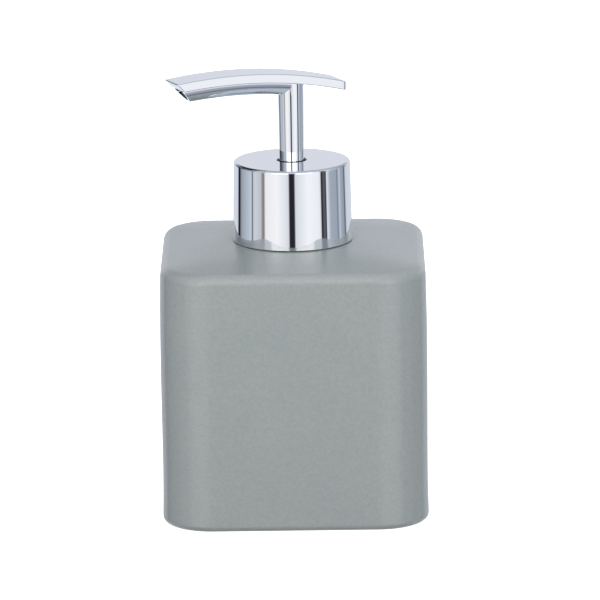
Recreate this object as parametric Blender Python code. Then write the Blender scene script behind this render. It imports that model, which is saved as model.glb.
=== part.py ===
# Countertop soap dispenser: a square slip-cast container with a chrome lift pump.
# Metres, +Z up. The origin is the centre of the foot, on the surface that the container stands on.
# Each piece of the real object is one object here, and the pump's pieces turn and slide on the Z axis.

import math

import bmesh
import bpy

# Shared fits
clearance = 0.0003            # free space between pieces that touch
running_gap = 0.00025         # radial play of the sliding stem
cut_overrun = 0.002           # how far a cutter reaches past what it cuts

# Container, slip-cast stoneware
container_width = 0.085
container_depth = 0.085
container_height = 0.0841     # at the foot of the top's crown
container_draft = 0.00012     # each side leans in by this much from foot to top
container_bulge = 0.0003      # each side swells by this much above the middle
bulge_rise_power = 1.8        # how far above the middle it swells most
foot_flare = 0.00035          # each side spreads by this much at the foot
foot_flare_height = 0.021
plan_corner_radius = 0.016
top_fillet_radius = 0.0035
foot_fillet_radius = 0.0022
crown_rise = 0.0023
pad_radius = 0.0200           # flat seat of the collar, in the middle of the crown
wall_thickness = 0.005
floor_thickness = 0.005
inner_fillet_radius = 0.006
foot_rim_width = 0.007
foot_recess_depth = 0.0012
neck_hole_radius = 0.014

# Threaded neck ring, glued into the container's hole
ring_flange_radius = 0.0168
ring_flange_thickness = 0.0015
ring_spigot_depth = 0.006
ring_thread_radius = 0.0134
ring_thread_length = 0.0103
ring_wall = 0.0024

# Sealing gasket between the ring and the pump
gasket_thickness = 0.0012

# Pump housing
barrel_bore_radius = 0.0074
barrel_wall = 0.0012
housing_flange_thickness = 0.0015
housing_collar_wall = 0.0028
ball_seat_bore_radius = 0.0017
ball_seat_mouth_radius = 0.0050
ball_seat_depth = 0.0050
seat_throat_length = 0.0020
tube_socket_wall = 0.0012
tube_socket_length = 0.0090
vent_radius = 0.0006
vent_drop = 0.0040            # from the flange down to the vent

# Valve balls
inlet_ball_radius = 0.0024
discharge_ball_radius = 0.0019

# Ball keeper, the disc that the spring stands on
keeper_thickness = 0.0020
keeper_hole_radius = 0.0009
keeper_hole_count = 4
keeper_centre_hole_radius = 0.0012

# Dip tube
dip_tube_radius = 0.0031
dip_tube_wall = 0.0010
dip_tube_floor_gap = 0.0020
dip_tube_end_slope = 0.7      # rise over run of the slanted end

# Return spring
spring_wire_radius = 0.00045
spring_turns = 9
spring_side_gap = 0.0006

# Pump stroke, piston and rod
pump_stroke = 0.015
spring_block_length = 0.0135  # room left for the closed spring at the bottom of the stroke
piston_height = 0.0080
piston_lip_height = 0.0018
piston_waist_inset = 0.0014
rod_radius = 0.0029
rod_bore_radius = 0.0013
rod_stop_radius = 0.0055
rod_stop_thickness = 0.0022
rod_flange_radius = 0.0048
rod_flange_thickness = 0.0015
follower_thickness = 0.0010

# Guide bush and stem wiper
bush_wall = 0.0014
bush_plate_thickness = 0.0020
wiper_thickness = 0.0014

# Screw cap
cap_plate_thickness = 0.0015
cap_thread_room = 0.0006      # radial room for the thread between the cap and the ring
cap_foot_gap = 0.0010

# Chrome collar cover
cover_height = 0.0259
cover_foot_radius = 0.01935
cover_top_radius = 0.01882
cover_wall = 0.0011
cover_plate_thickness = 0.0013
cover_edge_radius = 0.0004
cover_hole_radius = 0.00485

# Stem and spout
stem_foot_radius = 0.0040
stem_top_radius = 0.00417
stem_bore_radius = 0.0032
spout_root_half_width = 0.0041
spout_tip_half_width = 0.0035
spout_depth = 0.0046          # from the bow's underside to the lowest line of the spout
spout_wall = 0.0008

# Bow, the arched plate of the head
head_turn_degrees = 25.0      # how far the nozzle points forward of the container's left side
bow_lift = 0.02576            # from the cover's top to the bow's underside, over the stem
bow_thickness = 0.0030
bow_tip_reach = 0.0419
bow_tail_reach = 0.0172
bow_crest_reach = 0.0229      # where the bow is highest, on the nozzle's side of the stem
bow_tip_arc_radius = 0.170
bow_tail_arc_radius = 0.150
bow_tip_width = 0.0103
bow_tail_width = 0.0122
bow_taper_power = 1.5
bow_edge_radius = 0.00035
tip_slant = 0.88              # setback over drop of the slanted mouth
bow_tongue_depth = 0.0006
bow_tongue_start_share = 0.14 # of the tip's reach
bow_tongue_end_share = 0.80

# Spout liner, a thin tube with a plug in the stem
liner_radius = 0.00125
liner_wall = 0.0005
liner_plug_length = 0.0030
liner_bend_radius = 0.0040
liner_mouth_setback = 0.0040
discharge_room = 0.0044       # height of the discharge ball's chamber

# Counts
corner_steps = 8
side_steps = 4
side_rings = 7
fillet_steps = 4
crown_steps = 4
bow_steps = 14
spout_arc_steps = 10
large_round_steps = 48
medium_round_steps = 32
small_round_steps = 20
liner_round_steps = 12
hole_round_steps = 8
ball_segments = 16
spring_steps_per_turn = 12
spring_sides = 6

# Heights that follow from the sizes above
pad_z = container_height + crown_rise
ring_flange_foot_z = pad_z + clearance
ring_flange_top_z = ring_flange_foot_z + ring_flange_thickness
ring_top_z = ring_flange_top_z + ring_thread_length
gasket_foot_z = ring_top_z + clearance
gasket_top_z = gasket_foot_z + gasket_thickness
housing_flange_foot_z = gasket_top_z + clearance
housing_flange_top_z = housing_flange_foot_z + housing_flange_thickness
cover_foot_z = pad_z + clearance
cover_top_z = cover_foot_z + cover_height
bush_top_z = cover_top_z - cover_plate_thickness - clearance
bush_plate_foot_z = bush_top_z - bush_plate_thickness
wiper_top_z = bush_plate_foot_z - clearance
wiper_foot_z = wiper_top_z - wiper_thickness
housing_top_z = wiper_foot_z - clearance
rod_stop_top_z = housing_top_z - clearance
rod_stop_foot_z = rod_stop_top_z - rod_stop_thickness
piston_top_z = rod_stop_foot_z - clearance
piston_foot_z = piston_top_z - piston_height
rod_flange_top_z = piston_foot_z - clearance
rod_foot_z = rod_flange_top_z - rod_flange_thickness
follower_top_z = rod_foot_z - clearance
follower_foot_z = follower_top_z - follower_thickness
spring_top_z = follower_foot_z - clearance
keeper_top_z = spring_top_z - pump_stroke - spring_block_length
keeper_foot_z = keeper_top_z - keeper_thickness
barrel_floor_z = keeper_foot_z - clearance
ball_seat_z = barrel_floor_z - ball_seat_depth
tube_socket_top_z = ball_seat_z - seat_throat_length
tube_socket_foot_z = tube_socket_top_z - tube_socket_length
inner_floor_z = foot_recess_depth + floor_thickness
stem_foot_z = rod_stop_top_z + clearance
bow_stem_under_z = cover_top_z + bow_lift
liner_drop = spout_depth - spout_wall - clearance - liner_radius
liner_plug_top_z = bow_stem_under_z - liner_drop - liner_bend_radius - clearance
liner_foot_z = liner_plug_top_z - liner_plug_length
rod_top_z = liner_foot_z - discharge_room

# Radii that follow from the sizes above
ring_spigot_radius = neck_hole_radius - clearance
ring_bore_radius = ring_thread_radius - ring_wall
barrel_radius = barrel_bore_radius + barrel_wall
housing_collar_radius = barrel_bore_radius + housing_collar_wall
bush_bore_radius = stem_top_radius + running_gap
bush_inner_radius = housing_collar_radius + clearance
bush_outer_radius = bush_inner_radius + bush_wall
cap_inner_radius = ring_thread_radius + cap_thread_room
cap_outer_radius = cover_top_radius - cover_wall - clearance
cap_hole_radius = bush_outer_radius + clearance
piston_radius = barrel_bore_radius - clearance
tube_socket_radius = dip_tube_radius + clearance
tube_socket_outer_radius = tube_socket_radius + tube_socket_wall
spring_coil_radius = barrel_bore_radius - spring_side_gap - spring_wire_radius
liner_bore_radius = liner_radius - liner_wall


def finish(name, bm, material, parent=None, is_cutter=False):
    """Turns a closed bmesh into a named object with its faces pointing outwards."""
    bmesh.ops.recalc_face_normals(bm, faces=bm.faces[:])
    if bm.calc_volume(signed=True) < 0:
        bmesh.ops.reverse_faces(bm, faces=bm.faces[:])
    mesh = bpy.data.meshes.new(name)
    bm.to_mesh(mesh)
    bm.free()
    mesh.shade_smooth()
    mesh.set_sharp_from_angle(angle=math.radians(32))
    piece = bpy.data.objects.new(name, mesh)
    bpy.context.scene.collection.objects.link(piece)
    piece.parent = parent
    if is_cutter:
        piece.hide_render = True
        piece.display_type = 'WIRE'
    else:
        mesh.materials.append(material)
    return piece


def combine(piece, operand, operation):
    """Adds an exact Boolean of the given operation to a piece."""
    step = piece.modifiers.new(operation.lower() + '_' + operand.name, 'BOOLEAN')
    step.operation = operation
    step.solver = 'EXACT'
    step.object = operand


def surface(name, colour, roughness, metallic=0.0):
    """A plain material with the piece's own colour and gloss."""
    material = bpy.data.materials.new(name)
    material.use_nodes = True
    shader = material.node_tree.nodes['Principled BSDF']
    shader.inputs['Base Color'].default_value = (*colour, 1.0)
    shader.inputs['Roughness'].default_value = roughness
    shader.inputs['Metallic'].default_value = metallic
    return material


def turned(name, profile, steps, material, parent=None, is_cutter=False):
    """Spins an outline of (radius, height) points once round the Z axis.

    The outline is closed by itself, or it starts and ends on the axis.
    """
    bm = bmesh.new()
    points = [bm.verts.new((radius, 0, height)) for radius, height in profile]
    edges = [bm.edges.new(pair) for pair in zip(points, points[1:])]
    if profile[0][0] > 0:
        edges.append(bm.edges.new((points[-1], points[0])))
    bmesh.ops.spin(bm, geom=points + edges, cent=(0, 0, 0), axis=(0, 0, 1),
                   angle=math.tau, steps=steps, use_merge=True)
    weld_distance = clearance / 1000
    bmesh.ops.remove_doubles(bm, verts=bm.verts[:], dist=weld_distance)
    bmesh.ops.dissolve_degenerate(bm, edges=bm.edges[:], dist=weld_distance)
    return finish(name, bm, material, parent, is_cutter)


def lofted(name, rings, material, parent=None, is_cutter=False, closes_on_itself=False):
    """Skins a row of rings that have the same number of points."""
    bm = bmesh.new()
    loops = [[bm.verts.new(point) for point in ring] for ring in rings]
    pairs = list(zip(loops, loops[1:]))
    if closes_on_itself:
        pairs.append((loops[-1], loops[0]))
    for low, high in pairs:
        for index in range(len(low)):
            after = (index + 1) % len(low)
            bm.faces.new((low[index], low[after], high[after], high[index]))
    if not closes_on_itself:
        bm.faces.new(loops[0])
        bm.faces.new(loops[-1])
    return finish(name, bm, material, parent, is_cutter)


def circle_points(radius):
    """Points round the rim of a small drilled hole."""
    turns = [math.tau * step / hole_round_steps for step in range(hole_round_steps)]
    return [(radius * math.cos(turn), radius * math.sin(turn)) for turn in turns]


def square_ring(inset, height):
    """Points round the container's plan, drawn in by an inset, at one height."""
    half_width = container_width / 2 - inset
    half_depth = container_depth / 2 - inset
    corner = max(plan_corner_radius - inset, clearance)
    points = []
    for quarter, (sign_x, sign_y) in enumerate(((1, 1), (-1, 1), (-1, -1), (1, -1))):
        centre_x = sign_x * (half_width - corner)
        centre_y = sign_y * (half_depth - corner)
        for step in range(corner_steps + 1):
            angle = math.pi / 2 * (quarter + step / corner_steps)
            points.append((centre_x + corner * math.cos(angle), centre_y + corner * math.sin(angle), height))
        along_x = quarter % 2 == 0
        straight = 2 * (half_width if along_x else half_depth) - 2 * corner
        start_x, start_y = points[-1][0], points[-1][1]
        for step in range(1, side_steps):
            travel = straight * step / side_steps
            points.append((start_x - sign_x * travel * along_x,
                           start_y - sign_y * travel * (not along_x), height))
    return points


def round_ring(radius, height):
    """Points round a circle, one for each point of the container's plan."""
    count = 4 * (corner_steps + side_steps)
    first_angle = math.pi / 4 - math.pi * corner_steps / count
    return [(radius * math.cos(first_angle + math.tau * index / count),
             radius * math.sin(first_angle + math.tau * index / count), height) for index in range(count)]


def blend_ring(first, second, share, height):
    """A ring part of the way between two others."""
    return [(a[0] + (b[0] - a[0]) * share, a[1] + (b[1] - a[1]) * share, height)
            for a, b in zip(first, second)]


def side_inset(height):
    """How far the container's side is drawn in at a height.

    Casting leaves it with a slight lean, a swell and a flared foot.
    """
    share = height / container_height
    swell = container_bulge * math.sin(math.pi * share ** bulge_rise_power)
    flare = foot_flare * max(1 - height / foot_flare_height, 0) ** 2
    return container_draft * share ** 2 - swell - flare


def crown_rings(inset, edge_z, last_radius):
    """Rings from the inner edge of a top fillet, over the crown, to a circle.

    The crown is a shallow dome: it falls with the square of the distance from the middle.
    """
    edge = square_ring(inset, 0)
    circle = round_ring(last_radius, 0)
    edge_distance = container_width / 2 - inset
    inner_share = last_radius / edge_distance
    rings = []
    for step in range(1, crown_steps + 1):
        share = step / crown_steps
        distance_share = 1 - share * (1 - inner_share)
        rise = crown_rise * (1 - distance_share ** 2) / (1 - inner_share ** 2)
        rings.append(blend_ring(edge, circle, share, edge_z + rise))
    return rings


def make_container(material):
    """One shell: foot rim, sides, top fillet, crown, neck hole, and the hollow inside."""
    rings = []
    recess_inset = foot_rim_width + foot_fillet_radius
    rings.append(round_ring(pad_radius, foot_recess_depth))
    rings.append(square_ring(recess_inset + foot_recess_depth, foot_recess_depth))
    rings.append(square_ring(recess_inset, 0))
    for step in range(fillet_steps + 1):
        angle = math.pi / 2 * step / fillet_steps
        height = foot_fillet_radius * (1 - math.cos(angle))
        inset = foot_fillet_radius * (1 - math.sin(angle))
        rings.append(square_ring(inset + side_inset(height), height))
    side_top_z = container_height - top_fillet_radius
    for step in range(1, side_rings):
        height = foot_fillet_radius + (side_top_z - foot_fillet_radius) * step / side_rings
        rings.append(square_ring(side_inset(height), height))
    top_inset = side_inset(side_top_z)
    crown_inset = top_fillet_radius + top_inset
    crown_slope = math.atan2(2 * crown_rise, container_width / 2 - crown_inset)
    for step in range(fillet_steps + 1):
        angle = (math.pi / 2 - crown_slope) * step / fillet_steps
        height = side_top_z + top_fillet_radius * math.sin(angle)
        inset = top_fillet_radius * (1 - math.cos(angle))
        rings.append(square_ring(inset + top_inset, height))
    rings += crown_rings(crown_inset, container_height, pad_radius)
    rings.append(round_ring(neck_hole_radius, pad_z))
    ceiling_z = pad_z - wall_thickness
    rings.append(round_ring(neck_hole_radius, ceiling_z))
    inner_top_z = container_height - wall_thickness
    inner_edge = wall_thickness + inner_fillet_radius
    inner_rows = crown_rings(inner_edge, inner_top_z, pad_radius)
    rings += inner_rows[::-1]
    for step in range(fillet_steps + 1):
        angle = math.pi / 2 * (1 - step / fillet_steps)
        height = inner_top_z - inner_fillet_radius * (1 - math.sin(angle))
        inset = wall_thickness + inner_fillet_radius * (1 - math.cos(angle))
        rings.append(square_ring(inset, height))
    for step in range(fillet_steps + 1):
        angle = math.pi / 2 * step / fillet_steps
        height = inner_floor_z + inner_fillet_radius * (1 - math.sin(angle))
        inset = wall_thickness + inner_fillet_radius * (1 - math.cos(angle))
        rings.append(square_ring(inset, height))
    rings.append(round_ring(pad_radius, inner_floor_z))
    return lofted('container', rings, material)


def make_neck_ring(material):
    """Flanged ring: its spigot lines the hole and its neck carries the cap's thread."""
    spigot_foot_z = ring_flange_foot_z - ring_spigot_depth
    lead = ring_flange_thickness / 3
    return turned('neck_ring', [
        (ring_bore_radius, ring_top_z),
        (ring_thread_radius - lead, ring_top_z),
        (ring_thread_radius, ring_top_z - lead),
        (ring_thread_radius, ring_flange_top_z),
        (ring_flange_radius - lead, ring_flange_top_z),
        (ring_flange_radius, ring_flange_top_z - lead),
        (ring_flange_radius, ring_flange_foot_z),
        (ring_spigot_radius, ring_flange_foot_z),
        (ring_spigot_radius, spigot_foot_z + lead),
        (ring_spigot_radius - lead, spigot_foot_z),
        (ring_bore_radius, spigot_foot_z),
    ], large_round_steps, material)


def make_neck_gasket(material):
    """Flat washer that seals the pump's flange to the ring."""
    inner_radius = barrel_radius + clearance
    return turned('neck_gasket', [
        (inner_radius, gasket_top_z),
        (ring_thread_radius, gasket_top_z),
        (ring_thread_radius, gasket_foot_z),
        (inner_radius, gasket_foot_z),
    ], medium_round_steps, material)


def make_pump_housing(material):
    """Barrel with its flange, the collar above, the inlet's ball seat and the tube socket."""
    shoulder_z = barrel_floor_z - barrel_wall
    housing = turned('pump_housing', [
        (barrel_bore_radius, housing_top_z),
        (housing_collar_radius, housing_top_z),
        (housing_collar_radius, housing_flange_top_z),
        (ring_thread_radius, housing_flange_top_z),
        (ring_thread_radius, housing_flange_foot_z),
        (barrel_radius, housing_flange_foot_z),
        (barrel_radius, shoulder_z),
        (tube_socket_outer_radius, ball_seat_z),
        (tube_socket_outer_radius, tube_socket_foot_z),
        (tube_socket_radius, tube_socket_foot_z),
        (tube_socket_radius, tube_socket_top_z),
        (ball_seat_bore_radius, tube_socket_top_z),
        (ball_seat_bore_radius, ball_seat_z),
        (ball_seat_mouth_radius, barrel_floor_z),
        (barrel_bore_radius, barrel_floor_z),
    ], medium_round_steps, material)
    vent_z = housing_flange_foot_z - vent_drop
    vent_rings = []
    for reach in (barrel_bore_radius - cut_overrun, barrel_radius + cut_overrun):
        vent_rings.append([(reach, across, vent_z + up) for across, up in circle_points(vent_radius)])
    vent = lofted('vent_cutter', vent_rings, None, is_cutter=True)
    combine(housing, vent, 'DIFFERENCE')
    return housing


def make_ball(name, radius, height, material, parent=None):
    """A valve ball that rests on its seat."""
    bm = bmesh.new()
    bmesh.ops.create_uvsphere(bm, u_segments=ball_segments, v_segments=ball_segments // 2, radius=radius)
    bmesh.ops.translate(bm, verts=bm.verts[:], vec=(0, 0, height))
    return finish(name, bm, material, parent)


def ball_height_on_cone(ball_radius, bore_radius, mouth_radius, depth, bore_z):
    """Height of a ball's centre where it lies in a cone, one clearance off its wall."""
    half_angle = math.atan2(mouth_radius - bore_radius, depth)
    apex_z = bore_z - bore_radius / math.tan(half_angle)
    return apex_z + (ball_radius + clearance) / math.sin(half_angle)


def make_keeper(material):
    """Disc with flow holes: it keeps the inlet ball down and carries the spring."""
    radius = barrel_bore_radius - clearance
    keeper = turned('ball_keeper', [
        (keeper_centre_hole_radius, keeper_top_z),
        (radius, keeper_top_z),
        (radius, keeper_foot_z),
        (keeper_centre_hole_radius, keeper_foot_z),
    ], medium_round_steps, material)
    hole_circle = (keeper_centre_hole_radius + ball_seat_mouth_radius) / 2
    for index in range(keeper_hole_count):
        angle = math.tau * index / keeper_hole_count
        centre_x = hole_circle * math.cos(angle)
        centre_y = hole_circle * math.sin(angle)
        hole_rings = []
        for height in (keeper_foot_z - cut_overrun, keeper_top_z + cut_overrun):
            hole_rings.append([(centre_x + along, centre_y + across, height)
                               for along, across in circle_points(keeper_hole_radius)])
        cutter = lofted('flow_hole_cutter_' + str(index + 1), hole_rings, None, is_cutter=True)
        combine(keeper, cutter, 'DIFFERENCE')
    return keeper


def make_spring(material):
    """Open coil with one closed turn at each end, in one unbroken tube."""
    bottom = keeper_top_z + clearance + spring_wire_radius
    top = spring_top_z - spring_wire_radius
    end_rise = spring_wire_radius * 2 + clearance * 2
    count = spring_turns * spring_steps_per_turn
    rings = []
    for index in range(count + 1):
        turn = index / spring_steps_per_turn
        low_share = min(turn, 1)
        high_share = min(max(turn - (spring_turns - 1), 0), 1)
        middle_share = min(max((turn - 1) / (spring_turns - 2), 0), 1)
        middle_rise = top - bottom - 2 * end_rise
        height = bottom + end_rise * (low_share + high_share) + middle_rise * middle_share
        angle = math.tau * turn
        ring = []
        for side in range(spring_sides):
            around = math.tau * side / spring_sides
            radius = spring_coil_radius + spring_wire_radius * math.cos(around)
            ring.append((radius * math.cos(angle), radius * math.sin(angle),
                         height + spring_wire_radius * math.sin(around)))
        rings.append(ring)
    return lofted('return_spring', rings, material)


def make_dip_tube(material):
    """Straight tube from the socket down to the floor, with a slanted end."""
    top_z = tube_socket_top_z - clearance
    foot_z = inner_floor_z + dip_tube_floor_gap
    bore = dip_tube_radius - dip_tube_wall

    def ring(radius, height, slope):
        points = []
        for step in range(small_round_steps):
            angle = math.tau * step / small_round_steps
            across = radius * math.cos(angle)
            points.append((across, radius * math.sin(angle), height + slope * (across + dip_tube_radius)))
        return points
    rings = [ring(dip_tube_radius, foot_z, dip_tube_end_slope), ring(dip_tube_radius, top_z, 0),
             ring(bore, top_z, 0), ring(bore, foot_z, dip_tube_end_slope)]
    return lofted('dip_tube', rings, material, closes_on_itself=True)


def make_screw_cap(material):
    """Cap whose lip holds the pump's flange down on the gasket."""
    lip_z = housing_flange_top_z + clearance
    top_z = lip_z + cap_plate_thickness
    foot_z = ring_flange_top_z + cap_foot_gap
    chamfer = cap_plate_thickness / 3
    return turned('screw_cap', [
        (cap_hole_radius, top_z),
        (cap_outer_radius - chamfer, top_z),
        (cap_outer_radius, top_z - chamfer),
        (cap_outer_radius, foot_z),
        (cap_inner_radius, foot_z),
        (cap_inner_radius, lip_z),
        (cap_hole_radius, lip_z),
    ], large_round_steps, material)


def make_collar_cover(material):
    """Drawn metal cup, upside down, pressed over the cap."""
    under_z = cover_top_z - cover_plate_thickness
    inner_radius = cover_top_radius - cover_wall
    profile = [(cover_hole_radius, cover_top_z)]
    for step in range(fillet_steps + 1):
        angle = math.pi / 2 * (1 - step / fillet_steps)
        profile.append((cover_top_radius - cover_edge_radius * (1 - math.cos(angle)),
                        cover_top_z - cover_edge_radius * (1 - math.sin(angle))))
    profile += [(cover_foot_radius, cover_foot_z), (inner_radius, cover_foot_z),
                (inner_radius, under_z), (cover_hole_radius, under_z)]
    return turned('collar_cover', profile, large_round_steps, material)


def make_guide_bush(material):
    """Bush over the housing's collar, with the bore that guides the stem."""
    foot_z = housing_flange_top_z + clearance
    return turned('guide_bush', [
        (bush_bore_radius, bush_top_z),
        (bush_outer_radius, bush_top_z),
        (bush_outer_radius, foot_z),
        (bush_inner_radius, foot_z),
        (bush_inner_radius, bush_plate_foot_z),
        (bush_bore_radius, bush_plate_foot_z),
    ], medium_round_steps, material)


def make_stem_wiper(material):
    """Soft washer that wipes the stem, held between the bush and the housing."""
    outer_radius = housing_collar_radius
    return turned('stem_wiper', [
        (bush_bore_radius, wiper_top_z),
        (outer_radius, wiper_top_z),
        (outer_radius, wiper_foot_z),
        (barrel_bore_radius, wiper_foot_z),
        (bush_bore_radius, (wiper_top_z + wiper_foot_z) / 2),
    ], medium_round_steps, material)


def make_piston(material):
    """Cup piston with a sealing lip at each end."""
    inner_radius = rod_radius + clearance
    waist = piston_radius - piston_waist_inset
    return turned('piston', [
        (inner_radius, piston_top_z),
        (waist, piston_top_z),
        (piston_radius, piston_top_z - piston_lip_height / 3),
        (piston_radius, piston_top_z - piston_lip_height),
        (waist, piston_top_z - piston_lip_height * 2),
        (waist, piston_foot_z + piston_lip_height * 2),
        (piston_radius, piston_foot_z + piston_lip_height),
        (piston_radius, piston_foot_z + piston_lip_height / 3),
        (waist, piston_foot_z),
        (inner_radius, piston_foot_z),
    ], medium_round_steps, material)


def make_spring_follower(material):
    """Thin washer between the spring and the rod, so that the head turns freely."""
    return turned('spring_follower', [
        (rod_bore_radius, follower_top_z),
        (piston_radius, follower_top_z),
        (piston_radius, follower_foot_z),
        (rod_bore_radius, follower_foot_z),
    ], medium_round_steps, material)


def make_piston_rod(material, parent):
    """Hollow rod: flange below the piston, stop above it, ball seat at the top."""
    seat_mouth = discharge_ball_radius + clearance
    seat_z = rod_top_z - (seat_mouth - rod_bore_radius)
    return turned('piston_rod', [
        (seat_mouth, rod_top_z),
        (rod_radius, rod_top_z),
        (rod_radius, rod_stop_top_z),
        (rod_stop_radius, rod_stop_top_z),
        (rod_stop_radius, rod_stop_foot_z),
        (rod_radius, rod_stop_foot_z),
        (rod_radius, rod_flange_top_z),
        (rod_flange_radius, rod_flange_top_z),
        (rod_flange_radius, rod_foot_z),
        (rod_bore_radius, rod_foot_z),
        (rod_bore_radius, seat_z),
    ], small_round_steps, material, parent)


def bow_under_z(reach):
    """Height of the bow's underside at a distance from the stem, towards the nozzle.

    The bow is two arcs that meet at its crest.
    """
    def drop(at):
        radius = bow_tip_arc_radius if at > bow_crest_reach else bow_tail_arc_radius
        return radius - math.sqrt(radius ** 2 - (at - bow_crest_reach) ** 2)
    return bow_stem_under_z + drop(0) - drop(reach)


def bow_half_width(reach):
    """Half the bow's width: full at the tail, and narrower towards the tip."""
    share = (reach + bow_tail_reach) / (bow_tip_reach + bow_tail_reach)
    taper = (bow_tail_width - bow_tip_width) * max(share, 0) ** bow_taper_power
    return (bow_tail_width - taper) / 2


def mouth_reach(height):
    """Distance from the stem at which the slanted mouth lies at a height."""
    return bow_tip_reach - tip_slant * (bow_under_z(bow_tip_reach) + bow_thickness - height)


def bow_section(reach, end_inset=0, is_tip=False):
    """The bow's cross-section: a flat bar with rounded edges.

    At the tail's end it is drawn in all round by an inset.
    """
    half_width = bow_half_width(reach) - end_inset
    under = bow_under_z(reach) + end_inset
    top = bow_under_z(reach) + bow_thickness - end_inset
    edge = bow_edge_radius
    outline = [(half_width - edge, top), (half_width, top - edge), (half_width, under + edge),
               (half_width - edge, under), (edge - half_width, under), (-half_width, under + edge),
               (-half_width, top - edge), (edge - half_width, top)]
    if is_tip:
        return [(mouth_reach(height), across, height) for across, height in outline]
    return [(reach - end_inset, across, height) for across, height in outline]


def make_head_bow(material, parent):
    """Arched plate, with a tongue below that drops into the spout."""
    first_reach = bow_edge_radius - bow_tail_reach
    last_reach = bow_tip_reach - 2 * tip_slant * bow_thickness
    rings = [bow_section(first_reach, end_inset=bow_edge_radius)]
    for step in range(bow_steps + 1):
        rings.append(bow_section(first_reach + (last_reach - first_reach) * step / bow_steps))
    rings.append(bow_section(bow_tip_reach, is_tip=True))
    bow = lofted('head_bow', rings, material, parent)
    channel_share = math.sqrt(1 - (bow_tongue_depth / (spout_depth - spout_wall)) ** 2)
    tongue_start = bow_tip_reach * bow_tongue_start_share
    tongue_end = bow_tip_reach * bow_tongue_end_share
    tongue_rings = []
    for step in range(spout_arc_steps + 1):
        reach = tongue_start + (tongue_end - tongue_start) * step / spout_arc_steps
        half_width = (spout_half_width(reach) - spout_wall) * channel_share - clearance
        high = bow_under_z(reach) + bow_thickness / 2
        low = bow_under_z(reach) - bow_tongue_depth
        tongue_rings.append([(reach, half_width, high), (reach, half_width, low),
                             (reach, -half_width, low), (reach, -half_width, high)])
    tongue = lofted('tongue_form', tongue_rings, None, parent, is_cutter=True)
    combine(bow, tongue, 'UNION')
    return bow


def spout_half_width(reach):
    """Half the spout's width at a distance from the stem: it narrows towards the tip."""
    narrowing = spout_root_half_width - spout_tip_half_width
    return spout_root_half_width - narrowing * reach / bow_tip_reach


def trough_section(reach, wall, overlap, is_tip=False):
    """Section below the bow, half an ellipse that lies inside the spout's outside by a wall."""
    half_width = spout_half_width(reach) - wall
    depth = spout_depth - wall
    under = bow_under_z(reach)
    outline = [(half_width, under + overlap)]
    for step in range(spout_arc_steps + 1):
        angle = math.pi * step / spout_arc_steps
        outline.append((half_width * math.cos(angle), under - depth * math.sin(angle)))
    outline.append((-half_width, under + overlap))
    if is_tip:
        return [(mouth_reach(height), across, height) for across, height in outline]
    return [(reach, across, height) for across, height in outline]


def make_spout_stem(material, parent):
    """Stem tube and half-round spout in one formed piece, mitred where they meet."""
    crest_z = bow_under_z(bow_crest_reach)
    stem = turned('spout_stem', [
        (0, crest_z),
        (stem_top_radius, crest_z),
        (stem_top_radius, bow_stem_under_z - spout_depth),
        (stem_foot_radius, cover_top_z),
        (stem_foot_radius, stem_foot_z),
        (0, stem_foot_z),
    ], medium_round_steps, material, parent)
    last_reach = bow_tip_reach - tip_slant * (bow_thickness + spout_depth) - cut_overrun
    spout_rings = [trough_section(last_reach * step / bow_steps, 0, bow_thickness / 2)
                   for step in range(bow_steps + 1)]
    spout_rings.append(trough_section(bow_tip_reach, 0, bow_thickness / 2, is_tip=True))
    spout = lofted('spout_form', spout_rings, None, parent, is_cutter=True)
    combine(stem, spout, 'UNION')
    channel_rings = [trough_section(last_reach * step / bow_steps, spout_wall, bow_thickness)
                     for step in range(bow_steps + 1)]
    channel_rings.append([(x + bow_thickness + spout_depth, y, z) for x, y, z in channel_rings[-1]])
    channel = lofted('channel_cutter', channel_rings, None, parent, is_cutter=True)
    combine(stem, channel, 'DIFFERENCE')
    bore = turned('stem_bore_cutter', [
        (0, bow_stem_under_z),
        (stem_bore_radius, bow_stem_under_z),
        (stem_bore_radius, stem_foot_z - cut_overrun),
        (0, stem_foot_z - cut_overrun),
    ], small_round_steps, None, parent, is_cutter=True)
    combine(stem, bore, 'DIFFERENCE')
    shelf_rings = []
    for step in range(bow_steps + 1):
        reach = -2 * stem_top_radius + (bow_tip_reach + 3 * stem_top_radius) * step / bow_steps
        low = bow_under_z(reach) - clearance
        high = crest_z + 2 * bow_thickness
        half_width = bow_tail_width
        shelf_rings.append([(reach, half_width, high), (reach, half_width, low),
                            (reach, -half_width, low), (reach, -half_width, high)])
    shelf = lofted('bow_seat_cutter', shelf_rings, None, parent, is_cutter=True)
    combine(stem, shelf, 'DIFFERENCE')
    return stem


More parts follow.
